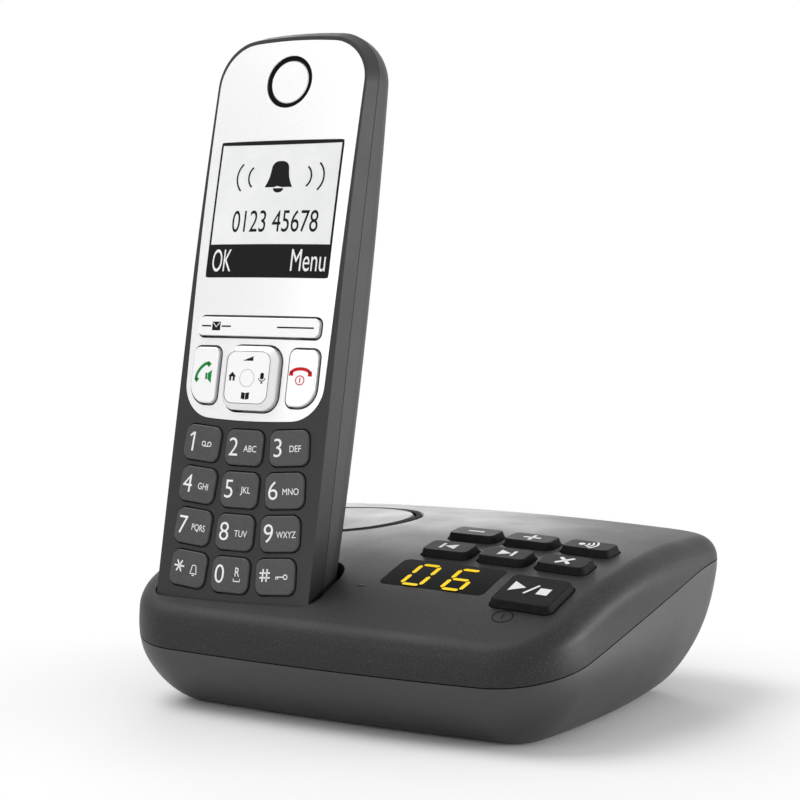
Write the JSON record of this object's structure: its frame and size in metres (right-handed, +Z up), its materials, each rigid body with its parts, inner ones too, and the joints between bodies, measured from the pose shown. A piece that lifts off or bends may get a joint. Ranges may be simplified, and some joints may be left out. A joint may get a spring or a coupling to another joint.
{
  "type": "cordless telephone with answering machine",
  "caption": "Cordless telephone handset leaning in the charging cradle of a rounded base with answering-machine keys, a small display and a round sound disc.",
  "frame": {"origin": "centre of the base's footprint, on the floor under the feet", "axes": "+Z up, -Y towards the user, +X to the user's right"},
  "size_m": [0.1332, 0.1108, 0.1754],
  "materials": {
    "base_plastic": "fine textured anthracite",
    "hull_plastic": "fine textured dark anthracite",
    "base_key_plastic": "fine textured anthracite with printed white symbols",
    "window_plastic": "clear smoked, polished",
    "module_glass": "display glass",
    "circuit_board": "green solder mask",
    "soft_rubber": "matte",
    "disc_plastic": "fine textured anthracite",
    "speaker_steel": "pressed steel",
    "screw_steel": "zinc plated",
    "antenna_metal": "bare strip",
    "socket_plastic": "moulded black",
    "contact_metal": "nickel plated",
    "handset_front_plastic": "fine textured anthracite",
    "handset_back_plastic": "fine textured dark grey",
    "silver_paint": "metallic silver paint over plastic",
    "handset_key_plastic": "satin with printed white characters",
    "silver_key_plastic": "metallic silver paint over plastic",
    "cell_sleeve": "printed cell sleeve"
  },
  "bodies": {
    "base": {"base_top_cover": "base_plastic", "base_bottom_cover": "hull_plastic", "base_display_window": "window_plastic", "base_display_module": "module_glass", "base_circuit_board": "circuit_board", "base_feet": "soft_rubber", "base_speaker_disc": "disc_plastic", "base_loudspeaker": "speaker_steel", "base_screws": "screw_steel", "base_antennas": "antenna_metal", "base_key_mat": "soft_rubber", "power_socket": "socket_plastic", "line_socket": "socket_plastic"},
    "base_key_minus": {"base_key_minus": "base_key_plastic"},
    "base_key_plus": {"base_key_plus": "base_key_plastic"},
    "base_key_paging": {"base_key_paging": "base_key_plastic"},
    "base_key_previous": {"base_key_previous": "base_key_plastic"},
    "base_key_next": {"base_key_next": "base_key_plastic"},
    "base_key_delete": {"base_key_delete": "base_key_plastic"},
    "base_key_play_stop": {"base_key_play_stop": "base_key_plastic"},
    "base_contact_left": {"base_contact_left": "contact_metal"},
    "base_contact_right": {"base_contact_right": "contact_metal"},
    "handset": {"handset_front_shell": "handset_front_plastic", "handset_back_shell": "handset_back_plastic", "handset_faceplate": "silver_paint", "handset_display_lens": "window_plastic", "lcd_module": "module_glass", "earpiece_disc": "silver_paint", "earpiece_speaker": "speaker_steel", "microphone": "speaker_steel", "handset_circuit_board": "circuit_board", "handset_key_mat": "soft_rubber", "battery_cells": "cell_sleeve", "battery_contacts": "contact_metal", "handset_charge_contacts": "contact_metal", "ringer_speaker": "speaker_steel", "handset_antenna": "antenna_metal"},
    "key_1": {"key_1": "handset_key_plastic"},
    "key_2": {"key_2": "handset_key_plastic"},
    "key_3": {"key_3": "handset_key_plastic"},
    "key_4": {"key_4": "handset_key_plastic"},
    "key_5": {"key_5": "handset_key_plastic"},
    "key_6": {"key_6": "handset_key_plastic"},
    "key_7": {"key_7": "handset_key_plastic"},
    "key_8": {"key_8": "handset_key_plastic"},
    "key_9": {"key_9": "handset_key_plastic"},
    "key_star": {"key_star": "handset_key_plastic"},
    "key_0": {"key_0": "handset_key_plastic"},
    "key_hash": {"key_hash": "handset_key_plastic"},
    "talk_key": {"talk_key": "silver_key_plastic"},
    "end_key": {"end_key": "silver_key_plastic"},
    "softkey_bar": {"softkey_bar": "silver_key_plastic"},
    "nav_plunger": {"nav_key_plunger": "silver_key_plastic"},
    "nav_key": {"nav_key": "silver_key_plastic"},
    "battery_cover": {"battery_cover": "handset_back_plastic"}
  },
  "joints": [
    {"name": "press_minus", "type": "slide", "parent": "base", "child": "base_key_minus", "axis": [-0.0202, 0.1219, -0.9923], "range_m": [0, 0.0008], "stiffness_N_per_m": 600},
    {"name": "press_plus", "type": "slide", "parent": "base", "child": "base_key_plus", "axis": [-0.0333, 0.1219, -0.992], "range_m": [0, 0.0008], "stiffness_N_per_m": 600},
    {"name": "press_paging", "type": "slide", "parent": "base", "child": "base_key_paging", "axis": [-0.0463, 0.1218, -0.9915], "range_m": [0, 0.0008], "stiffness_N_per_m": 600},
    {"name": "press_previous", "type": "slide", "parent": "base", "child": "base_key_previous", "axis": [-0.0199, 0.2105, -0.9774], "range_m": [0, 0.0008], "stiffness_N_per_m": 600},
    {"name": "press_next", "type": "slide", "parent": "base", "child": "base_key_next", "axis": [-0.0328, 0.2104, -0.9771], "range_m": [0, 0.0008], "stiffness_N_per_m": 600},
    {"name": "press_delete", "type": "slide", "parent": "base", "child": "base_key_delete", "axis": [-0.0456, 0.2103, -0.9766], "range_m": [0, 0.0008], "stiffness_N_per_m": 600},
    {"name": "press_play_stop", "type": "slide", "parent": "base", "child": "base_key_play_stop", "axis": [-0.0439, 0.3379, -0.9402], "range_m": [0, 0.0008], "stiffness_N_per_m": 600},
    {"name": "contact_left_spring", "type": "slide", "parent": "base", "child": "base_contact_left", "axis": [0, -0.1949, -0.9808], "range_m": [0, 0.001], "stiffness_N_per_m": 400},
    {"name": "contact_right_spring", "type": "slide", "parent": "base", "child": "base_contact_right", "axis": [0, -0.1949, -0.9808], "range_m": [0, 0.001], "stiffness_N_per_m": 400},
    {"name": "lift_out", "type": "slide", "parent": "base", "child": "handset", "axis": [0, 0.1949, 0.9808], "range_m": [0, 0.06]},
    {"name": "press_key_1", "type": "slide", "parent": "handset", "child": "key_1", "axis": [0.0456, 0.9798, -0.1947], "range_m": [0, 0.0006], "stiffness_N_per_m": 500},
    {"name": "press_key_2", "type": "slide", "parent": "handset", "child": "key_2", "axis": [0, 0.9808, -0.1949], "range_m": [0, 0.0006], "stiffness_N_per_m": 500},
    {"name": "press_key_3", "type": "slide", "parent": "handset", "child": "key_3", "axis": [-0.0456, 0.9798, -0.1947], "range_m": [0, 0.0006], "stiffness_N_per_m": 500},
    {"name": "press_key_4", "type": "slide", "parent": "handset", "child": "key_4", "axis": [0.0456, 0.9798, -0.1947], "range_m": [0, 0.0006], "stiffness_N_per_m": 500},
    {"name": "press_key_5", "type": "slide", "parent": "handset", "child": "key_5", "axis": [0, 0.9808, -0.1949], "range_m": [0, 0.0006], "stiffness_N_per_m": 500},
    {"name": "press_key_6", "type": "slide", "parent": "handset", "child": "key_6", "axis": [-0.0456, 0.9798, -0.1947], "range_m": [0, 0.0006], "stiffness_N_per_m": 500},
    {"name": "press_key_7", "type": "slide", "parent": "handset", "child": "key_7", "axis": [0.0456, 0.9798, -0.1947], "range_m": [0, 0.0006], "stiffness_N_per_m": 500},
    {"name": "press_key_8", "type": "slide", "parent": "handset", "child": "key_8", "axis": [0, 0.9808, -0.1949], "range_m": [0, 0.0006], "stiffness_N_per_m": 500},
    {"name": "press_key_9", "type": "slide", "parent": "handset", "child": "key_9", "axis": [-0.0456, 0.9798, -0.1947], "range_m": [0, 0.0006], "stiffness_N_per_m": 500},
    {"name": "press_key_star", "type": "slide", "parent": "handset", "child": "key_star", "axis": [0.0456, 0.9798, -0.1947], "range_m": [0, 0.0006], "stiffness_N_per_m": 500},
    {"name": "press_key_0", "type": "slide", "parent": "handset", "child": "key_0", "axis": [0, 0.9808, -0.1949], "range_m": [0, 0.0006], "stiffness_N_per_m": 500},
    {"name": "press_key_hash", "type": "slide", "parent": "handset", "child": "key_hash", "axis": [-0.0456, 0.9798, -0.1947], "range_m": [0, 0.0006], "stiffness_N_per_m": 500},
    {"name": "press_talk_key", "type": "slide", "parent": "handset", "child": "talk_key", "axis": [0.0513, 0.9795, -0.1947], "range_m": [0, 0.0006], "stiffness_N_per_m": 500},
    {"name": "press_end_key", "type": "slide", "parent": "handset", "child": "end_key", "axis": [-0.0513, 0.9795, -0.1947], "range_m": [0, 0.0006], "stiffness_N_per_m": 500},
    {"name": "softkey_rock", "type": "hinge", "parent": "handset", "child": "softkey_bar", "pos_m": [-0.031, -0.03031, 0.0977], "axis": [0, 0.1949, 0.9808], "range_deg": [-1.5, 1.5], "stiffness_Nm_per_rad": 0.12},
    {"name": "nav_rock_up_down", "type": "hinge", "parent": "handset", "child": "nav_plunger", "pos_m": [-0.031, -0.03293, 0.08451], "axis": [1, 0, 0], "range_deg": [-2.5, 2.5], "stiffness_Nm_per_rad": 0.1},
    {"name": "nav_rock_left_right", "type": "hinge", "parent": "nav_plunger", "child": "nav_key", "pos_m": [-0.031, -0.03293, 0.08451], "axis": [0, 0.1949, 0.9808], "range_deg": [-2.5, 2.5], "stiffness_Nm_per_rad": 0.1},
    {"name": "battery_cover_off", "type": "slide", "parent": "handset", "child": "battery_cover", "axis": [0, 0.9808, -0.1949], "range_m": [0, 0.025]}
  ]
}
